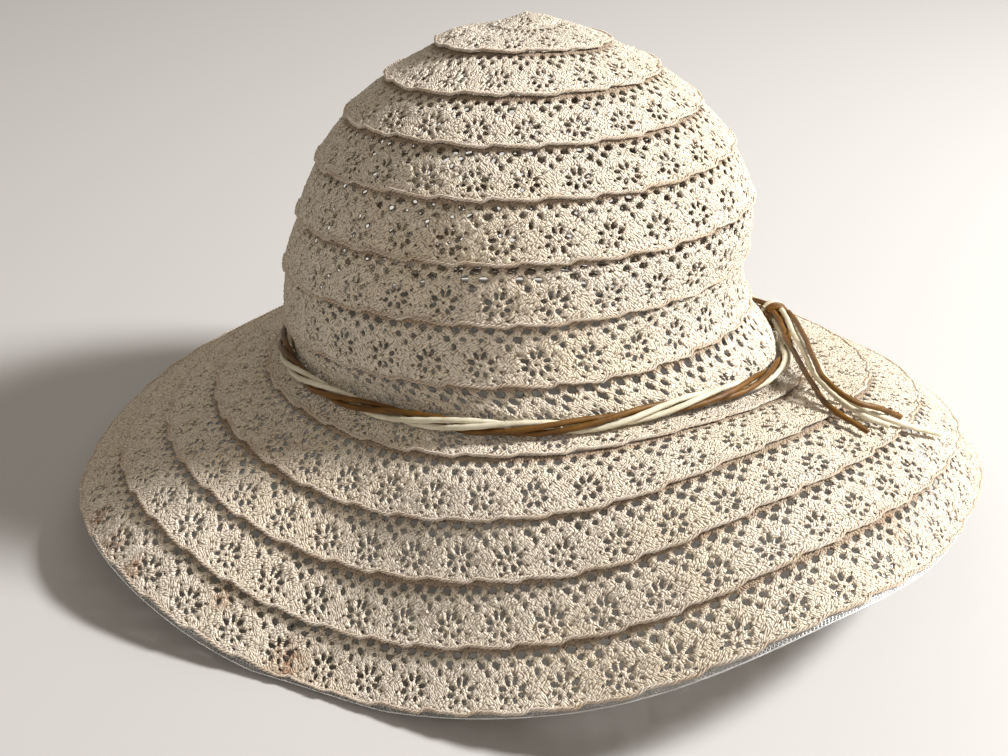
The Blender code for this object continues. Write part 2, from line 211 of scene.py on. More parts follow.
def ring_value(values, azimuth):
    """Smooth values at azimuths, from values spread evenly round the hat."""
    values = np.asarray(values)
    count = len(values)
    place = (np.asarray(azimuth, float) % 360.0) / 360.0 * count
    index = np.floor(place).astype(int)
    part = place - index
    before, here, after, beyond = (values[(index + k) % count] for k in (-1, 0, 1, 2))
    bend = 2 * before - 5 * here + 4 * after - beyond
    twist = 3 * (here - after) + beyond - before
    return here + 0.5 * part * (after - before + part * (bend + part * twist))


def smooth_value(knots, values, x):
    """Smooth curve through the values at the knots, read at each x."""
    knots, values, x = (np.asarray(a, float) for a in (knots, values, x))
    index = np.clip(np.searchsorted(knots, x, side="left") - 1, 0, len(knots) - 2)
    padded = np.concatenate(([values[0]], values, [values[-1]]))
    spread = np.concatenate(([knots[0]], knots, [knots[-1]]))
    slopes = (padded[2:] - padded[:-2]) / (spread[2:] - spread[:-2])
    span = knots[index + 1] - knots[index]
    t = (x - knots[index]) / span
    rise_start, rise_end = slopes[index] * span, slopes[index + 1] * span
    return (values[index] * (1 + 2 * t) * (1 - t) ** 2 + values[index + 1] * t * t * (3 - 2 * t)
            + rise_start * t * (1 - t) ** 2 - rise_end * t * t * (1 - t))


def crown_knots():
    """Cloth length up from the band at each row edge of the crown."""
    knots = [0.0]
    for low, high in zip(CROWN_EDGES, CROWN_EDGES[1:]):
        step = math.hypot(high.half_width - low.half_width, high.height - low.height)
        knots.append(knots[-1] + step)
    return knots


CROWN_KNOTS = crown_knots()
CROWN_LENGTH = CROWN_KNOTS[-1]
CROWN_ROW_EDGES = CROWN_KNOTS[2:-1]


def droop_column(name, azimuth):
    """One column of the brim's table at azimuths."""
    return ring_value([getattr(row, name) for row in BRIM_DROOP], azimuth)


def dent_depth(dent, up, azimuth):
    """Depths of one dent at places of the crown."""
    turn = (azimuth - dent.azimuth + 180.0) % 360.0 - 180.0
    along = (up - dent.up) / dent.spread_up
    return dent.depth * np.exp(-0.5 * ((turn / dent.spread_angle) ** 2 + along ** 2))


def crown_point(up, azimuth, out):
    """Points of the crown, cloth lengths up from the band and distances out of its face."""
    up, azimuth, out = np.broadcast_arrays(*(np.asarray(a, float) for a in (up, azimuth, out)))
    up = up + dent_depth(CROWN_SLIP, up, azimuth)
    angle = np.radians(azimuth)
    seat = droop_column("seat", azimuth)

    def section(length):
        height, centre, width = (
            smooth_value(CROWN_KNOTS, [edge[k] for edge in CROWN_EDGES], length) for k in range(3))
        fade = np.maximum(1.0 - length / CROWN_ROW_EDGES[0], 0.0)
        return height + seat * fade, centre, width

    step = 0.0005
    low = section(np.maximum(up - step, 0.0))
    high = section(np.minimum(up + step, CROWN_LENGTH))
    rise = high[0] - low[0]
    shrink = low[2] - high[2] + (low[1] - high[1]) * np.cos(angle)
    slant = np.hypot(rise, shrink)
    height, centre, width = section(up)
    out = out - sum(dent_depth(dent, up, azimuth) for dent in CROWN_DENTS)
    width = width + out * rise / slant
    return np.stack((centre + width * np.cos(angle), width * DEPTH_RATIO * np.sin(angle),
                     height + out * shrink / slant), -1)


def brim_slopes(azimuth):
    """Root, middle and tip slopes of the brim at azimuths, in radians."""
    return [np.radians(droop_column(name, azimuth)) for name in ("root", "middle", "tip")]


def brim_point(down, azimuth, out):
    """Points of the brim, cloth lengths down from the seat and distances up out of its face."""
    down, azimuth, out = np.broadcast_arrays(*(np.asarray(a, float) for a in (down, azimuth, out)))
    root, middle, tip = brim_slopes(azimuth)

    def slope(length):
        t = np.clip(length / BRIM_SLANT, 0.0, 1.1)
        return root * (1 - t) * (1 - 2 * t) + middle * 4 * t * (1 - t) + tip * t * (2 * t - 1)

    length = np.maximum(down, 0.0)
    reach, drop = np.minimum(down, 0.0), -droop_column("seat", azimuth)
    steps = 12
    for k in range(steps):
        here = slope(length * (k + 0.5) / steps)
        reach = reach + np.cos(here) * length / steps
        drop = drop + np.sin(here) * length / steps
    droop = np.where(down > 0.0, slope(length), 0.0)
    reach = reach + out * np.sin(droop)
    angle = np.radians(azimuth)
    away = np.stack((np.cos(angle) / SEAT_HALF_WIDTH, np.sin(angle) / SEAT_HALF_DEPTH), -1)
    away /= np.linalg.norm(away, axis=-1, keepdims=True)
    return np.stack((SEAT_HALF_WIDTH * np.cos(angle) + away[..., 0] * reach,
                     SEAT_HALF_DEPTH * np.sin(angle) + away[..., 1] * reach,
                     out * np.cos(droop) - drop), -1)


def leaned(points):
    """The points on the hat as it leans, before the floor flattens its edge."""
    return np.asarray(points) @ np.array(LEAN).T + np.array(PLACE)


def crown_place(down, azimuth, out):
    """Resting points of the crown, cloth lengths down from its top."""
    return leaned(crown_point(CROWN_LENGTH - down, azimuth, out))


def crown_foot_place(down, azimuth, out):
    """Resting points of the crown's lowest row, unstretched where the band's seat is low."""
    start = CROWN_LENGTH - CROWN_ROW_EDGES[0]
    length = down - start
    room = CROWN_ROW_EDGES[0] - droop_column("seat", azimuth)
    share = length * np.maximum(room / FOOT_LENGTH, 1.0) / room
    share = np.minimum(share, FOOT_END) + np.maximum(share - FOOT_END, 0.0) * FOOT_TUCK
    down = start + np.where(length > 0.0, share * CROWN_ROW_EDGES[0], length)
    return crown_place(down, azimuth, out)


def brim_place(down, azimuth, out):
    """Resting points of the brim, whose edge the floor flattens."""
    depth = ROW_STEP + LACE_THICKNESS + GAP + STRIP_THICKNESS
    under = leaned(brim_point(np.maximum(down, 0.0), azimuth, -depth))[..., 2]
    placed = leaned(brim_point(down, azimuth, out))
    placed[..., 2] = np.maximum(placed[..., 2] + np.maximum(-under, 0.0), FLOOR_CLEARANCE)
    return placed


def band_centre(azimuth):
    """Centre line of the cord band, in the corner between crown and brim."""
    root = np.minimum(droop_column("root", azimuth), 0.0)
    rise = BAND_RISE - BAND_RISE_ON_UPTURN * np.sin(np.radians(root))
    turn = (azimuth - KNOT_AZIMUTH + 180.0) % 360.0 - 180.0
    lift = KNOT_LIFT * np.exp(-0.5 * (turn / KNOT_SPREAD) ** 2)
    stretch = 1.0 - droop_column("seat", azimuth) / CROWN_ROW_EDGES[0]
    return crown_point((rise + lift) / stretch, azimuth, BAND_STAND_OFF + lift)


def round_band(azimuth, radius, turn):
    """Points round the band's centre line, at a radius and at turns in radians."""
    along = band_centre(azimuth + 1.0) - band_centre(azimuth - 1.0)
    side = np.cross(along, (0.0, 0.0, 1.0))
    side /= np.linalg.norm(side, axis=-1, keepdims=True)
    over = np.cross(side, along)
    over /= np.linalg.norm(over, axis=-1, keepdims=True)
    turn = np.asarray(turn)[..., None]
    return band_centre(azimuth) + side * radius * np.cos(turn) + over * radius * np.sin(turn)


def resampled(points, step):
    """The line through the points, with points spread evenly a step apart."""
    run = np.concatenate(([0.0], np.cumsum(np.linalg.norm(np.diff(points, axis=0), axis=1))))
    goal = np.linspace(0.0, run[-1], max(int(round(run[-1] / step)), 2) + 1)
    return np.stack([np.interp(goal, run, points[:, k]) for k in range(3)], -1)


LEG_STEPS = 20


def tail_points(route):
    """Points along a tail's route over the brim."""
    legs = len(route) - 1
    places = np.linspace(0, legs, LEG_STEPS * legs + 1)
    columns = (smooth_value(range(len(route)), column, places) for column in zip(*route))
    return leaned(brim_point(*columns))


# Camera of the photograph, fitted in the upright hat's own frame
CAMERA_ELEVATION = math.radians(21.2028)
CAMERA_ROLL = math.radians(-1.8189)
CAMERA_DISTANCE = 0.56033
FOCAL_PIXELS = 1500.0
IMAGE_WIDTH, IMAGE_HEIGHT = 1008, 756
AXIS_U, AXIS_V = 537.683, 324.923
SENSOR_WIDTH = 36.0


def make_camera():
    """Camera at the photograph's place."""
    forward = Vector((0.0, math.cos(CAMERA_ELEVATION), -math.sin(CAMERA_ELEVATION)))
    right = Vector((1.0, 0.0, 0.0))
    over = right.cross(forward)
    c, s = math.cos(CAMERA_ROLL), math.sin(CAMERA_ROLL)
    axes = [right * c + over * s, over * c - right * s, -forward]
    data = bpy.data.cameras.new("photo_camera")
    data.sensor_width = SENSOR_WIDTH
    data.lens = SENSOR_WIDTH * FOCAL_PIXELS / IMAGE_WIDTH
    data.shift_x = 0.5 - AXIS_U / IMAGE_WIDTH
    data.shift_y = (AXIS_V - IMAGE_HEIGHT / 2) / IMAGE_WIDTH
    data.clip_start = 0.01
    camera = bpy.data.objects.new("photo_camera", data)
    turned = Matrix([LEAN @ axis for axis in axes]).transposed().to_4x4()
    place = LEAN @ (forward * -CAMERA_DISTANCE) + PLACE
    camera.matrix_world = Matrix.Translation(place) @ turned
    bpy.context.collection.objects.link(camera)
    bpy.context.scene.camera = camera


def add_mesh(name, points, faces, material, marks):
    """A smooth piece that rides on the hat, with the weave's own coordinates on its corners."""
    mesh = bpy.data.meshes.new(name)
    mesh.from_pydata(np.asarray(points).tolist(), [], faces)
    mesh.shade_smooth()
    layer = mesh.attributes.new("weave", "FLOAT_VECTOR", "CORNER")
    layer.data.foreach_set("vector", np.asarray(marks, np.float32).ravel())
    mesh.materials.append(material)
    piece = bpy.data.objects.new(name, mesh)
    bpy.context.collection.objects.link(piece)
    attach(piece, "root")
    return piece


# Round ends, steepest run that takes its side from the upright, and mean bulge of a ply
CAP_BULGE = 0.35
STEEP_RUN = 0.9
PLY_MIDDLE = 0.8


def tube_parts(points, radius, sides, closed=False, lobes=0, lobe_depth=0.0, lobe_pitch=0.005,
               caps=True):
    """Points, faces and corner marks of a round cord; its lobes wind round it like plies."""
    points = np.asarray(points, float)
    count = len(points)
    if closed:
        along = np.roll(points, -1, 0) - np.roll(points, 1, 0)
    else:
        along = np.gradient(points, axis=0)
    along /= np.linalg.norm(along, axis=1, keepdims=True)
    hint = np.where(np.abs(along[:, 2:]) > STEEP_RUN, (1.0, 0.0, 0.0), (0.0, 0.0, 1.0))
    side = np.cross(along, hint)
    side /= np.linalg.norm(side, axis=1, keepdims=True)
    over = np.cross(side, along)
    run = np.concatenate(([0.0], np.cumsum(np.linalg.norm(np.diff(points, axis=0), axis=1))))
    whole = run[-1] + (np.linalg.norm(points[0] - points[-1]) if closed else 0.0)
    turns = max(round(whole / lobe_pitch), 1) / whole if closed else 1.0 / lobe_pitch
    angle = np.arange(sides) * 2 * math.pi / sides
    radii = np.broadcast_to(np.asarray(radius, float), (count,))[:, None] * np.ones(sides)
    if lobes:
        wound = run[:, None] * turns * 2 * math.pi / lobes
        wave = np.abs(np.cos(0.5 * lobes * (angle - wound)))
        radii = radii * (1.0 + lobe_depth * (wave - PLY_MIDDLE))
    ring = (points[:, None] + side[:, None] * (radii * np.cos(angle))[..., None]
            + over[:, None] * (radii * np.sin(angle))[..., None])
    verts = ring.reshape(-1, 3)
    faces, marks = [], []
    length = np.append(run, whole) / MM
    for k in range(count if closed else count - 1):
        n = (k + 1) % count
        here, there = length[k], length[k + 1]
        for j in range(sides):
            i = (j + 1) % sides
            faces.append((k * sides + j, k * sides + i, n * sides + i, n * sides + j))
            marks += [(here, j, 1), (here, j + 1, 1), (there, j + 1, 1), (there, j, 1)]
    if not closed and caps:
        for base, end, sign in ((0, points[0], -1), (count - 1, points[-1], 1)):
            bulge = sign * along[base] * np.mean(radii[base]) * CAP_BULGE
            verts = np.vstack((verts, end + bulge))
            tip = len(verts) - 1
            for j in range(sides):
                i = (j + 1) % sides
                a, b = base * sides + j, base * sides + i
                faces.append((a, b, tip) if sign > 0 else (b, a, tip))
                marks += [(length[base], 0, 1)] * 3
    return verts, faces, marks


def joined(parts):
    """One set of points, faces and marks from several."""
    points, faces, marks, start = [], [], [], 0
    for some_points, some_faces, some_marks in parts:
        points.append(np.asarray(some_points))
        faces += [tuple(start + i for i in face) for face in some_faces]
        marks += list(some_marks)
        start += len(some_points)
    return np.vstack(points), faces, marks


class Nodes:
    """Small helper that adds shader nodes to one material and links them."""

    def __init__(self, name):
        self.material = bpy.data.materials.new(name)
        self.material.use_nodes = True
        self.tree = self.material.node_tree
        self.shader = self.tree.nodes["Principled BSDF"]

    def add(self, kind, settings=(), **inputs):
        """A node with settings; its inputs are named, or i0, i1 by number."""
        node = self.tree.nodes.new(kind)
        for key, value in dict(settings).items():
            setattr(node, key, value)
        for key, value in inputs.items():
            self.put(node.inputs[int(key[1:]) if key[1:].isdigit() else key], value)
        return node

    def put(self, socket, value):
        """Sets a socket to a value, or links an output to it."""
        if hasattr(value, "is_output"):
            self.tree.links.new(value, socket)
        else:
            socket.default_value = value

    def math(self, operation, a, b):
        """Output of a math node."""
        return self.add("ShaderNodeMath", {"operation": operation}, i0=a, i1=b).outputs[0]

    def times(self, a, b):
        """Product of two values."""
        return self.math("MULTIPLY", a, b)

    def noise(self, vector, scale, detail=2.0, roughness=0.5):
        """Output of a noise texture, grey."""
        node = self.add("ShaderNodeTexNoise", Vector=vector, Scale=scale, Detail=detail,
                        Roughness=roughness)
        return node.outputs[0]

    def ramp(self, value, *stops):
        """Colour ramp output from (place, colour) stops."""
        node = self.add("ShaderNodeValToRGB", i0=value)
        elements = node.color_ramp.elements
        while len(elements) < len(stops):
            elements.new(0.5)
        for element, (place, colour) in zip(elements, stops):
            element.position = place
            element.color = (*colour, 1.0)
        return node.outputs[0]

    def fade(self, value, start, end, falls=False):
        """Rise from 0 to 1 between two values, or fall from 1 to 0."""
        low, high = (1.0, 0.0) if falls else (0.0, 1.0)
        return self.ramp(value, (start, (low,) * 3), (end, (high,) * 3))

    def mix(self, factor, a, b):
        """Blend of two colours."""
        node = self.add("ShaderNodeMix", {"data_type": "RGBA"}, i0=factor, i6=a, i7=b)
        return node.outputs[2]

    def bump(self, height, distance):
        """Bump from a height, linked to the shader."""
        node = self.add("ShaderNodeBump", Strength=1.0, Distance=distance, Height=height)
        self.tree.links.new(node.outputs[0], self.shader.inputs["Normal"])


# Stitches: size in millimetres, lean in degrees, relief in metres
STITCH_LONG = 1.25
STITCH_SHORT = 0.62
LEFT_LEAN = 46.0
RIGHT_LEAN = -40.0
STITCH_RELIEF = 0.0011

CLEAN_LACE = (0.900, 0.785, 0.620, 1.0)
YELLOWED_LACE = (0.865, 0.705, 0.450, 1.0)
PALE_STITCH = (0.975, 0.900, 0.775, 1.0)
# The next two colours are painted shade: the first darkens the gaps between stitches, the second
# darkens the lace under the edge of the row above.
PAINTED_GAP_SHADE = (0.300, 0.180, 0.095, 1.0)
PAINTED_EDGE_SHADOW = (0.270, 0.150, 0.065, 1.0)
RUST = (0.400, 0.190, 0.075, 1.0)
NEAR_BLACK = (0.010, 0.010, 0.022, 1.0)

# Rusty stains on the brim and one dark fleck, at places seen from above; they soak through
Stain = namedtuple("Stain", "place radius strength solid colour")
STAINS = (
    Stain((-0.0772, -0.1315, 0.0), 0.0085, 0.85, 0.2, RUST),
    Stain((-0.1493, -0.0733, 0.0), 0.0055, 0.80, 0.2, RUST),
    Stain((-0.1404, -0.0884, 0.0), 0.0060, 0.65, 0.1, RUST),
    Stain((-0.1316, -0.1001, 0.0), 0.0050, 0.75, 0.2, RUST),
    Stain((-0.1004, -0.1128, 0.0), 0.0050, 0.70, 0.2, RUST),
    Stain((0.1088, -0.1170, 0.0), 0.0080, 0.50, 0.1, RUST),
    Stain((-0.0768, -0.1220, 0.0), 0.0016, 0.96, 1.0, NEAR_BLACK),
)


def stitch_cells(n, vector, lean):
    """Distance from the middle of stitches that lean, and each stitch's own random shade."""
    turn = n.add("ShaderNodeMapping", {"vector_type": "TEXTURE"}, Vector=vector,
                 Rotation=(0.0, 0.0, math.radians(lean)), Scale=(STITCH_LONG, STITCH_SHORT, 1.0))
    cells = n.add("ShaderNodeTexVoronoi", {"voronoi_dimensions": "2D"}, Vector=turn.outputs[0],
                  Scale=1.0, Randomness=0.75)
    return cells.outputs["Distance"], cells.outputs["Color"]


def stained(n, where, colour):
    """The lace's colour with its stains, each a round blotch that noise breaks up."""
    blotch = n.fade(n.noise(where, 420.0, 2.0, 0.6), 0.38, 0.62)
    above = n.add("ShaderNodeVectorMath", {"operation": "MULTIPLY"}, i0=where, i1=(1.0, 1.0, 0.0))
    for spot in STAINS:
        away = n.add("ShaderNodeVectorMath", {"operation": "DISTANCE"}, i0=above.outputs[0],
                     i1=spot.place).outputs["Value"]
        inside = n.fade(n.math("DIVIDE", away, spot.radius), 0.35, 1.0, falls=True)
        patchy = n.math("ADD", n.times(blotch, 1.0 - spot.solid), spot.solid)
        colour = n.mix(n.times(n.times(inside, patchy), spot.strength), colour, spot.colour)
    return colour


def lace_material(name):
    """Ecru cotton lace: leaning stitches with painted shade in the gaps between them, painted
    shadow under each row's edge, stains and a matt finish.
    """
    n = Nodes(name)
    weave = n.add("ShaderNodeAttribute", {"attribute_name": "weave"}).outputs["Vector"]
    where = n.add("ShaderNodeTexCoord").outputs["Object"]
    drift = n.add("ShaderNodeTexNoise", Vector=weave, Scale=0.30, Detail=1.0)
    pushed = n.add("ShaderNodeVectorMath", {"operation": "MULTIPLY_ADD"}, i0=drift.outputs[1],
                   i1=(1.8, 1.8, 0.0), i2=weave).outputs[0]
    left, left_shade = stitch_cells(n, pushed, LEFT_LEAN)
    right, right_shade = stitch_cells(n, pushed, RIGHT_LEAN)
    side = n.fade(n.noise(weave, 0.20, 1.0), 0.47, 0.53)
    distance = n.mix(side, left, right)
    shade = n.mix(side, left_shade, right_shade)
    fibre = n.noise(weave, 5.0, 2.0, 0.6)
    height = n.math("SUBTRACT", 1.0, n.math("POWER", distance, 1.6))
    n.bump(n.math("ADD", height, n.times(fibre, 0.20)), STITCH_RELIEF)
    yellowing = n.fade(n.noise(where, 16.0, 3.0, 0.6), 0.44, 0.68)
    clean = n.mix(n.times(yellowing, 0.6), CLEAN_LACE, YELLOWED_LACE)
    light = n.mix(n.times(shade, 0.6), clean, PALE_STITCH)
    # Painted shade: the gaps between stitch cells are darkened towards brown, standing in for the
    # shade between the stitches.
    stitched = n.mix(n.times(n.fade(distance, 0.42, 0.72), 0.76), light, PAINTED_GAP_SHADE)
    parts = n.add("ShaderNodeSeparateXYZ", Vector=weave).outputs
    # Painted shadow: the lace is darkened towards brown in the first few millimetres under the edge
    # of the row above, where that edge's shadow falls.
    edge_shadow = n.fade(n.times(parts["Y"], 0.25), 0.06, 0.46, falls=True)
    edge_shadowed = n.mix(n.times(edge_shadow, n.times(parts["Z"], 0.68)), stitched, PAINTED_EDGE_SHADOW)
    n.put(n.shader.inputs["Base Color"], stained(n, where, edge_shadowed))
    n.shader.inputs["Roughness"].default_value = 0.92
    n.shader.inputs["Sheen Weight"].default_value = 0.12
    n.shader.inputs["Sheen Roughness"].default_value = 0.6
    return n.material


def yarn_material(name, dark, light, roughness, grain):
    """Twisted yarn or waxed cord: fine grain along it and soft changes of shade."""
    n = Nodes(name)
    where = n.add("ShaderNodeTexCoord").outputs["Object"]
    weave = n.add("ShaderNodeAttribute", {"attribute_name": "weave"}).outputs["Vector"]
    drawn_out = n.add("ShaderNodeMapping", Vector=weave, Scale=(1.2, 3.0, 1.0)).outputs[0]
    fibre = n.noise(drawn_out, 1.4, 3.0, 0.6)
    patch = n.noise(where, 90.0, 2.0, 0.5)
    value = n.math("ADD", n.times(fibre, 0.6), n.times(patch, 0.4))
    n.put(n.shader.inputs["Base Color"], n.ramp(value, (0.38, dark), (0.62, light)))
    n.bump(fibre, grain)
    n.shader.inputs["Roughness"].default_value = roughness
    return n.material


def cord_material(name, dark, light):
    """Waxed cotton cord."""
    material = yarn_material(name, dark, light, 0.45, 0.00012)
    shader = material.node_tree.nodes["Principled BSDF"]
    shader.inputs["Specular IOR Level"].default_value = 0.30
    shader.inputs["Coat Weight"].default_value = 0.12
    shader.inputs["Coat Roughness"].default_value = 0.35
    return material


CORDS = {
    "cream": cord_material("cream_cord_look", (0.56, 0.49, 0.33), (0.84, 0.79, 0.63)),
    "tan": cord_material("tan_cord_look", (0.072, 0.028, 0.002), (0.215, 0.095, 0.008)),
}
CORD_SIDES = 12
CORD_LOBES = dict(lobes=3, lobe_depth=0.16, lobe_pitch=0.0062)
TAIL_STEP = 0.001
BAND_STEPS = 640
KNOT_STEPS = 40


def cord_piece(node, colour, points, closed=False):
    """The visual cord that stands for one solid cord."""
    points, faces, marks = tube_parts(points, CORD_DIAMETER / 2, CORD_SIDES, closed, **CORD_LOBES)
    piece = add_mesh(f"look_{node}", points, faces, CORDS[colour], marks)
    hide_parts(node)
    return piece


def make_tails():
    """The cords' free ends, lying on the brim."""
    for tail in TAILS:
        points = resampled(tail_points(tail.route), TAIL_STEP)
        piece = cord_piece(tail.node, tail.colour, points)


def make_band():
    """The four strands of the band and the turns of its knot."""
    azimuth = np.arange(BAND_STEPS) * 360.0 / BAND_STEPS
    for quarter, (colour, k) in enumerate((("cream", 1), ("cream", 2), ("tan", 1), ("tan", 2))):
        turn = np.radians(ROPE_TURNS * azimuth + ROPE_PHASE + 90.0 * quarter)
        points = leaned(round_band(azimuth, ROPE_RADIUS, turn))
        cord_piece(f"band_{colour}_{k}", colour, points, closed=True)
    turn = np.arange(KNOT_STEPS) * 2 * math.pi / KNOT_STEPS
    for knot in KNOT_TURNS:
        points = leaned(round_band(np.full(KNOT_STEPS, knot.azimuth), KNOT_TURN_RADIUS, turn))
        cord_piece(knot.name, knot.colour, points, closed=True)


# The lace motif, in millimetres: x along the row, y down it from the edge above
MOTIF_WIDTH = 18.0
MOTIF_HEIGHT = 19.4
MOTIF_KINDS = 3
ROW_OVERLAP = 2.2
LACE_HALF = 0.62
LACE_ROUGH = 0.13
SCALLOP = 1.3
SCALLOP_JUMP = 0.88
SCALLOP_RUN = 0.82
SCALLOP_BEND = 0.8

# Its mesh: spacing of filler points on the top and low faces, collars round holes and edges, least
# gaps between points, and the share of a gap that is kept free round a hole
STITCH = 1.0
TOP_NEAR = 0.62
LOW_SPACING = 3.2
LOW_NEAR = 1.3
GRID_START = 0.6
GRID_ROWS = 0.87
GRID_ROUGH = 0.10
COLLAR = 0.42
COLLAR_NEAR = 0.30
EDGE_COLLAR_X = 0.45
EDGE_COLLAR_Y = 0.55
EDGE_NEAR = 0.35
EDGE_CLEAR = 0.4
HOLE_CLEAR = 0.7

# Points round a small hole, a large one and a collar
SMALL_HOLE = 0.6
SMALL_RIM = 6
LARGE_RIM = 9
COLLAR_RIM = 8

# How much a hole strays, turns and changes size from one kind of motif to the next
HOLE_STRAY_X = 0.16
HOLE_STRAY_Y = 0.12
HOLE_TURN = 8.0
HOLE_SIZES = (0.80, 1.14)
RIM_ROUGH = (-0.30, 0.16)
TOP_MARGIN = 0.8

Hole = namedtuple("Hole", "x y wide tall tilt")
TRIANGLE_HOLES = (
    Hole(0.0, 1.25, 1.65, 1.05, 0.0),
    Hole(6.0, 1.25, 1.60, 1.00, 0.0),
    Hole(12.0, 1.25, 1.60, 1.00, 0.0),
    Hole(3.0, 4.1, 1.35, 1.00, 14.0),
    Hole(15.0, 4.1, 1.35, 1.00, 20.0),
    Hole(9.0, 4.2, 0.70, 0.50, 0.0),
    Hole(0.0, 6.7, 0.85, 1.15, -12.0),
)
FLOWER_X, FLOWER_Y = 9.0, 12.3
Petal = namedtuple("Petal", "clock reach_x reach_y long wide")
PETALS = (
    Petal(20.0, 3.4, 3.4, 1.35, 0.66),
    Petal(-22.0, 3.4, 3.4, 1.35, 0.66),
    Petal(66.0, 3.7, 3.2, 1.25, 0.66),
    Petal(-66.0, 3.7, 3.2, 1.25, 0.66),
    Petal(112.0, 3.7, 3.0, 0.95, 0.66),
    Petal(-112.0, 3.7, 3.0, 0.95, 0.66),
    Petal(154.0, 3.4, 3.0, 0.95, 0.70),
    Petal(-154.0, 3.4, 3.0, 0.95, 0.70),
)
PIN_HOLES = (
    Hole(9.0, 12.3, 0.36, 0.30, 0.0),
    Hole(3.6, 9.0, 0.45, 0.24, 40.0),
    Hole(14.6, 9.4, 0.45, 0.24, -40.0),
    Hole(3.2, 13.8, 0.50, 0.24, -35.0),
    Hole(15.4, 14.2, 0.50, 0.24, 35.0),
    Hole(6.2, 16.9, 0.55, 0.22, 12.0),
    Hole(12.6, 17.0, 0.55, 0.22, 12.0),
    Hole(9.6, 7.0, 0.40, 0.26, 90.0),
)
# Join between two motifs, as places x, y
SEAM = ((3.0, -9.0), (3.0, 1.3), (2.25, 2.5), (0.9, 3.2), (0.0, 4.1), (0.95, 5.1), (2.0, 6.5),
        (1.2, 8.4), (0.0, 10.0), (0.0, 40.0))


def seam_x(y):
    """Place of the join between two motifs, which runs between the holes."""
    return np.interp(y, [p[1] for p in SEAM], [p[0] for p in SEAM])


def scallop(x):
    """How far the row's edge is above its lowest line, at a place along the row."""
    t = (np.asarray(x) / MOTIF_WIDTH + 1.0 - SCALLOP_JUMP) % 1.0
    fall = (t / SCALLOP_RUN) ** SCALLOP_BEND
    rise = (1.0 - t) / (1.0 - SCALLOP_RUN)
    return SCALLOP * (1.0 - np.minimum(fall, rise))


# Waves in which rows and their edges stray, in millimetres: height, rate and shift
ROW_WAVES = ((0.30, 3, 1.0), (0.22, 7, 2.3))
ROPE_WAVES = ((0.12, 0.83, 0.0), (0.10, 1.91, 1.0))


def wander(azimuth, phase):
    """How far a row strays down the cloth round the hat, in millimetres."""
    turn = np.radians(azimuth)
    return sum(high * np.sin(rate * turn + shift * phase) for high, rate, shift in ROW_WAVES)


def hole_rim(hole, grow, count, half_step=0.0):
    """Points round a hole, grown by one distance or by one for each point."""
    turn = (np.arange(count) + half_step) * 2 * math.pi / count
    x, y = (hole.wide + grow) * np.cos(turn), (hole.tall + grow) * np.sin(turn)
    tilt = math.radians(hole.tilt)
    return np.stack((hole.x + x * math.cos(tilt) - y * math.sin(tilt),
                     hole.y + x * math.sin(tilt) + y * math.cos(tilt)), -1)


def in_hole(hole, points, grow):
    """Which points lie in a hole grown by a distance."""
    tilt = math.radians(hole.tilt)
    dx, dy = points[:, 0] - hole.x, points[:, 1] - hole.y
    x = (dx * math.cos(tilt) + dy * math.sin(tilt)) / (hole.wide + grow)
    y = (dy * math.cos(tilt) - dx * math.sin(tilt)) / (hole.tall + grow)
    return x * x + y * y < 1.0


def motif_holes(rng, top, height):
    """The motif's holes with small changes of place and size, without those its top would cut."""
    stretch = height / MOTIF_HEIGHT
    holes = list(TRIANGLE_HOLES) + list(PIN_HOLES)
    for petal in PETALS:
        clock = math.radians(petal.clock)
        x, y = petal.reach_x * math.sin(clock), -petal.reach_y * math.cos(clock)
        tilt = math.degrees(math.atan2(y, x))
        holes.append(Hole(FLOWER_X + x, FLOWER_Y + y, petal.long, petal.wide, tilt))
    kept = []
    for hole in holes:
        x = hole.x + rng.normal(0, HOLE_STRAY_X)
        y = hole.y * stretch + rng.normal(0, HOLE_STRAY_Y)
        x += MOTIF_WIDTH if x < seam_x(hole.y) else 0.0
        size = rng.uniform(*HOLE_SIZES)
        new = Hole(x, y, hole.wide * size, hole.tall * size * stretch ** 0.5,
                   hole.tilt + rng.normal(0, HOLE_TURN))
        if y - new.tall > top + TOP_MARGIN:
            kept.append(new)
    return kept


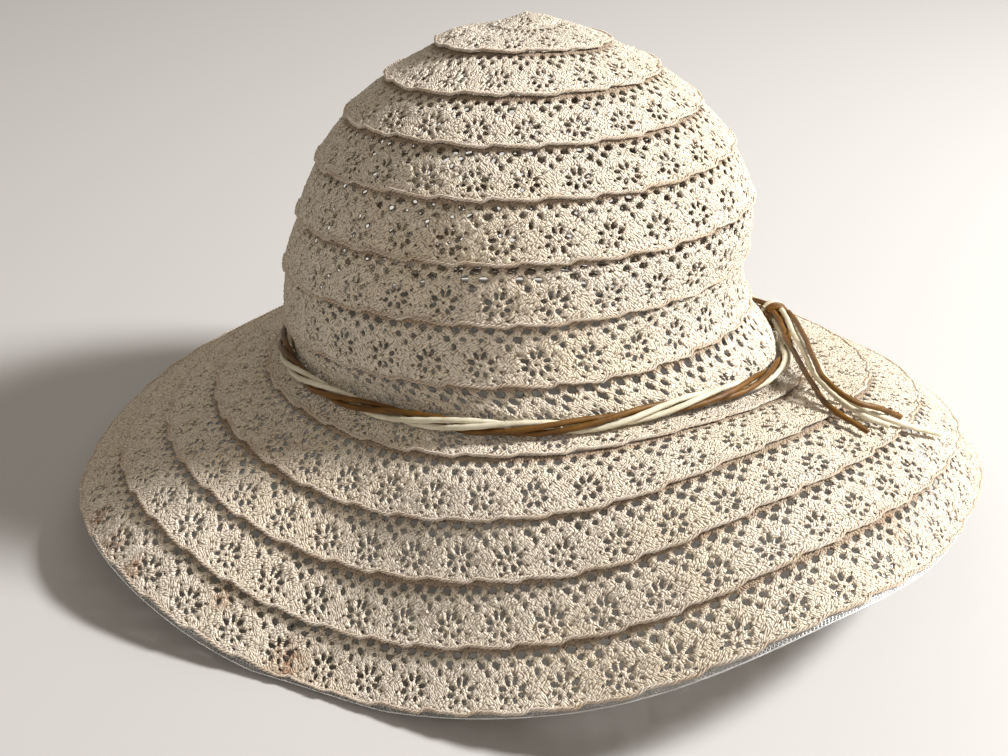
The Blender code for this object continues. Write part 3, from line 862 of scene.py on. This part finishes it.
def make_motif(rng, top, height):
    """One motif from its top to its scalloped edge, whose left and right seams match."""
    holes = motif_holes(rng, top, height)
    wide = MOTIF_WIDTH

    def edge_line(x):
        return height - scallop(x)

    def seam_at(y):
        return seam_x(y * MOTIF_HEIGHT / height)

    bottom = float(edge_line(seam_at(height)))
    seam_count = int(round((bottom - top) / STITCH))
    seam_y = np.linspace(top, bottom, seam_count + 1)
    left = np.stack((seam_at(seam_y), seam_y), -1)
    right = left + (wide, 0.0)
    across = int(round(wide / STITCH))
    edge_x = left[-1, 0] + np.arange(1, across) * wide / across
    edge = np.stack((edge_x, edge_line(edge_x)), -1)
    ceiling_x = left[0, 0] + np.arange(1, across) * wide / across
    ceiling = np.stack((ceiling_x, np.full(across - 1, top)), -1)
    outline = np.vstack((left, edge, right[::-1], ceiling[::-1]))
    rims = []
    for hole in holes:
        count = SMALL_RIM if hole.wide < SMALL_HOLE else LARGE_RIM
        rims.append(hole_rim(hole, rng.uniform(*RIM_ROUGH, count) * hole.tall, count))
    shared = np.vstack([outline] + rims)
    shared_edges, start = [], 0
    for loop in [outline] + rims:
        count = len(loop)
        shared_edges += [(start + k, start + (k + 1) % count) for k in range(count)]
        start += count
    right_seam = seam_count + 1 + len(edge) + 1 + np.arange(seam_count - 1)
    inner_outline = np.concatenate((np.arange(1, seam_count), right_seam))

    def spread(spacing, near, collars):
        """Filler points of one side, kept apart from what is there."""
        taken = [shared]
        if collars:
            for hole in holes:
                count = SMALL_RIM if hole.wide < SMALL_HOLE else COLLAR_RIM
                ring = hole_rim(hole, COLLAR, count, 0.5)
                taken.append(keep(ring, taken, COLLAR_NEAR, COLLAR * HOLE_CLEAR))
            for line, shift in ((edge, -EDGE_COLLAR_Y), (ceiling, EDGE_COLLAR_Y)):
                line = line + (EDGE_COLLAR_X, shift)
                taken.append(keep(line, taken, EDGE_NEAR, COLLAR * HOLE_CLEAR))
        grid = []
        levels = np.arange(top + spacing * GRID_START, height, spacing * GRID_ROWS)
        for k, y in enumerate(levels):
            x = np.arange(0.0, wide, spacing) + (k % 2) * spacing / 2 + seam_at(y)
            grid.append(np.stack((x, np.full(len(x), y)), -1))
        grid = np.vstack(grid)
        grid = grid + rng.normal(0.0, spacing * GRID_ROUGH, grid.shape)
        taken.append(keep(grid, taken, near, near))
        return np.vstack(taken[1:])

    def keep(points, taken, near, clear):
        """The points that lie inside the motif and not too near others."""
        others = np.vstack(taken)
        x, y = points[:, 0], points[:, 1]
        inside = (x > seam_at(y) + near) & (x < seam_at(y) + wide - near)
        inside &= (y > top + EDGE_CLEAR) & (y < edge_line(x) - EDGE_CLEAR)
        for hole in holes:
            inside &= ~in_hole(hole, points, clear * HOLE_CLEAR)
        chosen = []
        for point in points[inside]:
            if np.min(np.sum((others - point) ** 2, 1)) >= near ** 2:
                others = np.vstack((others, point))
                chosen.append(point)
        return np.array(chosen).reshape(-1, 2)

    def triangles(extra):
        """Triangles of one side between the shared points and its own."""
        points = np.vstack((shared, extra))
        result = delaunay_2d_cdt([Vector(p) for p in points.tolist()], shared_edges, [], 0, 1e-6)
        places, faces, origin = np.array([tuple(p) for p in result[0]]), result[2], result[3]
        assert len(places) == len(points)
        faces = np.array(faces)
        middles = places[faces].mean(1)
        kept = inside_loop(outline, middles)
        for rim in rims:
            kept &= ~inside_loop(rim, middles)
        order = np.array([ids[0] for ids in origin])
        return order[faces[kept]].tolist()

    def inside_loop(loop, spots):
        """Which points are inside a closed loop."""
        x0, y0 = loop[:, 0], loop[:, 1]
        x1, y1 = np.roll(x0, -1), np.roll(y0, -1)
        x, y = spots[:, :1], spots[:, 1:]
        crossed = (y0 > y) != (y1 > y)
        rise = np.where(y1 == y0, 1.0, y1 - y0)
        return np.sum(crossed & (x0 + (y - y0) * (x1 - x0) / rise > x), 1) % 2 == 1

    constraint = {tuple(sorted(e)) for e in shared_edges}

    def side_mesh(extra):
        """One side's own points and triangles, with points added where two rims would meet."""
        for _ in range(4):
            faces = triangles(extra)
            bad = set()
            for face in faces:
                for a, b in zip(face, face[1:] + face[:1]):
                    pair = (min(a, b), max(a, b))
                    if pair[1] < len(shared) and pair not in constraint:
                        bad.add(pair)
            if not bad:
                break
            added = [(shared[a] + shared[b]) / 2 for a, b in sorted(bad)]
            extra = np.vstack((extra, added))
        return extra, faces

    top_side = side_mesh(spread(STITCH, TOP_NEAR, True))
    low_extra = spread(LOW_SPACING, LOW_NEAR, False)
    return dict(shared=shared, seams=inner_outline, seam_count=seam_count, top=top_side,
                low=(low_extra, triangles(low_extra)), edge_count=len(edge))


# Rope-like row edges, in millimetres
ROPE_STEP = 1.0
ROPE_PITCH = 5.0
ROPE_PLIES = 3
ROPE_TWIST = 0.46
ROPE_PLY = 0.29
ROPE_INSET = 0.42
ROPE_OUT = -0.36
ROPE_SIDES = 5

# How deep a row lies and how its edge rises, where the top's motif starts and how deep it lies,
# and how far the brim's first row goes behind the band
ROW_SUNK = 0.35
EDGE_LIP = 0.3
LIP_START = 0.8
TOP_START = 7.9
TOP_SUNK = 0.8
TOP_EDGE_SUNK = 1.95
SEAT_REACH = 2.4
SEAT_RAISED = -0.75

SEED = 11
ROUND_STEPS = 180

# A row of lace: its solid, how it is placed, its start and end down the cloth, and its top
LaceRow = namedtuple("LaceRow", "node place start end top")

LACE = lace_material("ecru_lace_look")
EDGE_YARN = yarn_material("edge_yarn_look", (0.66, 0.49, 0.33), (0.97, 0.88, 0.76), 0.9, 0.0004)


def lace_row(name, row, count, phase, middle, edge_shadow, rng):
    """One row of lace with a count of motifs round the hat; its sixth argument tells if its top
    gets the painted shadow of the edge above.
    """
    height = (row.end - row.start) / MM
    kinds = [make_motif(rng, row.top, height) for _ in range(MOTIF_KINDS)]
    motifs = [kinds[int(rng.integers(MOTIF_KINDS))] for _ in range(count)]
    offsets, total = [], 0
    for kind in motifs:
        offsets.append(total)
        total += len(kind["shared"]) + len(kind["seams"])
        total += len(kind["top"][0]) + len(kind["low"][0])
    places, lifts, faces, marks = np.zeros((total, 2)), np.zeros(total), [], []
    for m, kind in enumerate(motifs):
        shared, seams = kind["shared"], kind["seams"]
        top_extra, low_extra = kind["top"][0], kind["low"][0]
        base = offsets[m]
        own = np.vstack((shared, shared[seams], top_extra, low_extra))
        places[base:base + len(own)] = own + (m * MOTIF_WIDTH, 0.0)
        side = np.repeat((0.0, -1.0, 1.0, -1.0),
                         (len(shared), len(seams), len(top_extra), len(low_extra)))
        side[seams] = 1.0
        rough = rng.normal(0.0, LACE_ROUGH, len(own))
        rough[:len(shared) + len(seams)] = 0.0
        lifts[base:base + len(own)] = side * LACE_HALF + np.where(side > 0, rough, 0.0)
        follow = offsets[(m + 1) % count]
        n = kind["seam_count"]
        right = n + 1 + kind["edge_count"] + np.arange(n + 1)
        top_of = np.arange(len(shared)) + base
        top_of[right] = follow + np.arange(n, -1, -1)
        low_of = top_of.copy()
        half = n - 1
        low_of[seams[:half]] = base + len(shared) + np.arange(half)
        follow_shared = len(motifs[(m + 1) % count]["shared"])
        low_of[seams[half:]] = follow + follow_shared + np.arange(half)[::-1]
        extra_top = base + len(shared) + len(seams)
        extra_low = extra_top + len(top_extra)
        for extra_at, table, group, flip in ((extra_top, top_of, kind["top"], True),
                                             (extra_low, low_of, kind["low"], False)):
            table = np.concatenate((table, extra_at + np.arange(len(group[0]))))
            spots = np.vstack((shared, group[0])) + (m * MOTIF_WIDTH, 0.0)
            for face in group[1]:
                face = face[::-1] if flip else face
                faces.append(tuple(int(table[i]) for i in face))
                # The marks' third value switches on the painted shadow under the edge above.
                marks += [(spots[i][0], spots[i][1], edge_shadow) for i in face]
    used = np.zeros(total, bool)
    used[np.unique(np.array(faces))] = True
    renumber = np.cumsum(used) - 1
    faces = renumber[np.array(faces)].tolist()
    places, lifts = places[used], lifts[used]
    azimuth = places[:, 0] / (MOTIF_WIDTH * count) * 360.0 + phase
    down = row.start + (places[:, 1] + wander(azimuth, phase)) * MM
    out = middle(np.clip(places[:, 1] / height, 0.0, 1.0)) + lifts * MM
    points = row.place(down, azimuth, out)
    return add_mesh(name, points, faces, LACE, marks)


def rope_edge(name, row, count, phase):
    """The row's scalloped lower edge: three plies of yarn twisted like a rope."""
    length = MOTIF_WIDTH * count
    steps = int(length / ROPE_STEP)
    x = np.arange(steps) * length / steps
    twists = round(length / ROPE_PITCH)
    azimuth = x / length * 360.0 + phase
    stray = wander(azimuth, phase)
    for high, rate, shift in ROPE_WAVES:
        stray = stray + high * np.sin(x * rate + shift)
    parts = []
    for ply in range(ROPE_PLIES):
        turn = (x / length * twists + ply / ROPE_PLIES) * 2 * math.pi
        down = row.end + (stray - scallop(x) - ROPE_INSET + ROPE_TWIST * np.cos(turn)) * MM
        points = row.place(down, azimuth, ROPE_OUT * MM + ROPE_TWIST * np.sin(turn) * MM)
        radius = ROPE_PLY * (0.88 + 0.30 * np.sin(turn + 0.6)) * MM
        parts.append(tube_parts(points, radius, ROPE_SIDES, closed=True))
    points, faces, marks = joined(parts)
    return add_mesh(name, points, faces, EDGE_YARN, marks)


def risen(share, start):
    """How far a share has come from a start to 1."""
    return np.clip((share - start) / (1.0 - start), 0.0, 1.0)


def middle_of_row(share):
    """Height of a row's middle off the cloth's face, which steps up to its proud edge."""
    lip = EDGE_LIP * risen(share, LIP_START)
    return -ROW_STEP * (1.0 - share) - (LACE_HALF + ROW_SUNK - lip) * MM


def middle_of_top(share):
    """Height of the top piece's middle off the cloth's face, which sinks to a nearly flush edge."""
    fall = risen(share, TOP_START / MOTIF_HEIGHT)
    return -(TOP_SUNK + (TOP_EDGE_SUNK - TOP_SUNK) * fall) * MM


def middle_at_seat(share):
    """Height of the brim's first row, which meets the crown's foot at the seat."""
    fall = risen(share, 1.0 - (BRIM_EDGES[0] / MM + SEAT_REACH) / MOTIF_HEIGHT)
    return (1.0 - fall) * SEAT_RAISED * MM + fall * middle_of_row(share)


def make_lace():
    """Every row of lace, from the crown's top to the brim's edge."""
    rng = np.random.default_rng(SEED)
    edges = [CROWN_LENGTH - up for up in reversed(CROWN_ROW_EDGES)]
    motif = MOTIF_HEIGHT * MM
    top = LaceRow("crown", crown_place, edges[0] - motif, edges[0], TOP_START)
    foot = LaceRow("crown", crown_foot_place, edges[-1], edges[-1] + FOOT_LENGTH, -ROW_OVERLAP)
    seat = LaceRow("brim", brim_place, BRIM_EDGES[0] - motif, BRIM_EDGES[0],
                   MOTIF_HEIGHT - BRIM_EDGES[0] / MM - SEAT_REACH)
    rows = [top]
    rows += [LaceRow("crown", crown_place, *ends, -ROW_OVERLAP) for ends in zip(edges, edges[1:])]
    rows += [foot, seat]
    rows += [LaceRow("brim", brim_place, *ends, -ROW_OVERLAP)
             for ends in zip(BRIM_EDGES, BRIM_EDGES[1:])]
    middles = {0: middle_of_top, rows.index(seat): middle_at_seat}
    azimuth = np.arange(ROUND_STEPS) * (360.0 / ROUND_STEPS)
    for k, row in enumerate(rows):
        ring = row.place(np.full(ROUND_STEPS, row.end), azimuth, np.zeros(ROUND_STEPS))
        around = np.linalg.norm(ring - np.roll(ring, 1, 0), axis=1).sum()
        count = int(round(around / MM / MOTIF_WIDTH))
        phase = float(rng.uniform(0.0, 360.0))
        # The first row under the top piece gets no painted edge shadow; every other row does.
        cloth = lace_row(f"{row.node}_row_{k + 1}", row, count, phase,
                         middles.get(k, middle_of_row), 0.0 if k == 1 else 1.0, rng)
        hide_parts(row.node)
        if row not in (top, foot):
            rope = rope_edge(f"{row.node}_edge_{k + 1}", row, count, phase)
            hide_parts(row.node)


# Gathered top: rings as length down from the middle and lift, in millimetres, and their folds
TIP_RINGS = ((0.3, 0.6), (0.8, 0.8), (1.5, 0.6), (2.3, 0.3), (3.2, -0.1), (3.2, -0.8), (1.0, -0.9))
TIP_STEPS = 40
TIP_FOLDS = 7
TIP_FOLD = 0.40
TIP_TWIST = 40.0
TIP_STITCH = 1.5


def make_tip():
    """Gathered stitches that close the crown's top."""
    around = TIP_STEPS
    azimuth = np.arange(around) * 360.0 / around
    rings = []
    for down, lift in TIP_RINGS:
        wave = np.cos(np.radians(azimuth * TIP_FOLDS + TIP_TWIST * down))
        out = (lift + TIP_FOLD * wave * down / TIP_RINGS[-2][0] - LACE_HALF) * MM
        rings.append(crown_place(np.full(around, down * MM), azimuth, out))
    points = np.vstack(rings + [rings[0].mean(0), rings[-1].mean(0)])
    faces, marks = [], []
    last = len(rings) - 1
    for k in range(around):
        n = (k + 1) % around
        for r in range(last):
            a, b = r * around, (r + 1) * around
            faces.append((a + k, b + k, b + n, a + n))
        faces.append((k, n, len(rings) * around))
        faces.append((last * around + n, last * around + k, len(rings) * around + 1))
    for face in faces:
        # The third mark, 1.0, lets the lace's painted edge shadow darken the tip where its second
        # mark is small.
        marks += [(*(points[i][:2] / MM * TIP_STITCH), 1.0) for i in face]
    tip = add_mesh("crown_tip", points, faces, LACE, marks)
    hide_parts("crown")


# Threads of the clear strip: along it at shares of its width, and crossing ones
STRIP_STEPS = 840
STRIP_LINES = (0.0, 0.50, 0.82)
LINE_RADIUS = 0.00018
OUTER_RADIUS = 0.00027
CROSSING_RADIUS = 0.00013
CROSSING_LEAN = 1.3
DULL_NYLON = (0.70, 0.71, 0.70)
BRIGHT_NYLON = (0.93, 0.94, 0.93)


def clear_material(name):
    """Clear nylon."""
    n = Nodes(name)
    where = n.add("ShaderNodeTexCoord").outputs["Object"]
    colour = n.ramp(n.noise(where, 300.0), (0.4, DULL_NYLON), (0.6, BRIGHT_NYLON))
    n.put(n.shader.inputs["Base Color"], colour)
    n.shader.inputs["Roughness"].default_value = 0.25
    n.shader.inputs["Transmission Weight"].default_value = 0.5
    return n.material


def make_strip():
    """Clear mesh tape under the brim edge: crossing threads and a bright outer one."""
    azimuth = np.arange(STRIP_STEPS) * 360.0 / STRIP_STEPS

    def thread(share, azimuth, radius, sides, **ends):
        """A thread at shares of the strip's width."""
        peek = STRIP_SHOWS * ring_value(STRIP_PEEKS, azimuth)
        down = BRIM_SLANT - STRIP_WIDTH * (1 - share) + share * peek
        return tube_parts(brim_place(down, azimuth, -ROW_STEP - STRIP_BELOW), radius, sides, **ends)

    parts = [thread(share, azimuth, LINE_RADIUS, 3, closed=True) for share in STRIP_LINES]
    parts.append(thread(1.0, azimuth, OUTER_RADIUS, 5, closed=True))
    share = np.linspace(0.0, 1.0, 3)
    for lean in (-CROSSING_LEAN, CROSSING_LEAN):
        for start in azimuth:
            parts.append(thread(share, start + lean * share, CROSSING_RADIUS, 3, caps=False))
    points, faces, marks = joined(parts)
    nylon = clear_material("clear_thread_look")
    strip = add_mesh("look_edging_strip", points, faces, nylon, marks)
    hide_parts("edging_strip")


# Studio: floor, lights round the hat, and the pale surroundings
FLOOR_SIDE = 9.0
FLOOR_GREY = (0.52, 0.508, 0.488, 1.0)
Lamp = namedtuple("Lamp", "name place size power")
LAMPS = (
    Lamp("key", (1.12, -0.04, 1.02), 0.26, 41.0),
    Lamp("fill", (-0.4, -1.4, 0.9), 1.2, 3.2),
    Lamp("back", (0.1, 1.2, 1.0), 1.0, 2.0),
)
LAMP_AIM = Vector((0.0, 0.0, 0.06))
WARM_WORLD = (1.0, 0.88, 0.75, 1.0)
WORLD_STRENGTH = 0.30


def make_stage():
    """Plain pale floor and soft studio lights."""
    floor = bpy.data.meshes.new("floor")
    corners = [(x * FLOOR_SIDE, y * FLOOR_SIDE, 0) for x, y in ((-1, -1), (1, -1), (1, 1), (-1, 1))]
    floor.from_pydata(corners, [], [(0, 1, 2, 3)])
    n = Nodes("floor_look")
    n.shader.inputs["Base Color"].default_value = FLOOR_GREY
    n.shader.inputs["Roughness"].default_value = 0.8
    floor.materials.append(n.material)
    thing = bpy.data.objects.new("floor", floor)
    bpy.context.collection.objects.link(thing)
    for lamp in LAMPS:
        data = bpy.data.lights.new(lamp.name, "AREA")
        data.size = lamp.size
        data.energy = lamp.power
        light = bpy.data.objects.new(lamp.name, data)
        light.location = lamp.place
        light.rotation_euler = (LAMP_AIM - Vector(lamp.place)).to_track_quat("-Z", "Y").to_euler()
        bpy.context.collection.objects.link(light)
    world = bpy.data.worlds.new("studio")
    world.use_nodes = True
    background = world.node_tree.nodes["Background"]
    background.inputs["Color"].default_value = WARM_WORLD
    background.inputs["Strength"].default_value = WORLD_STRENGTH
    bpy.context.scene.world = world
    bpy.context.scene.view_settings.view_transform = "Standard"


make_camera()
make_tails()
make_band()
make_lace()
make_tip()
make_strip()
make_stage()
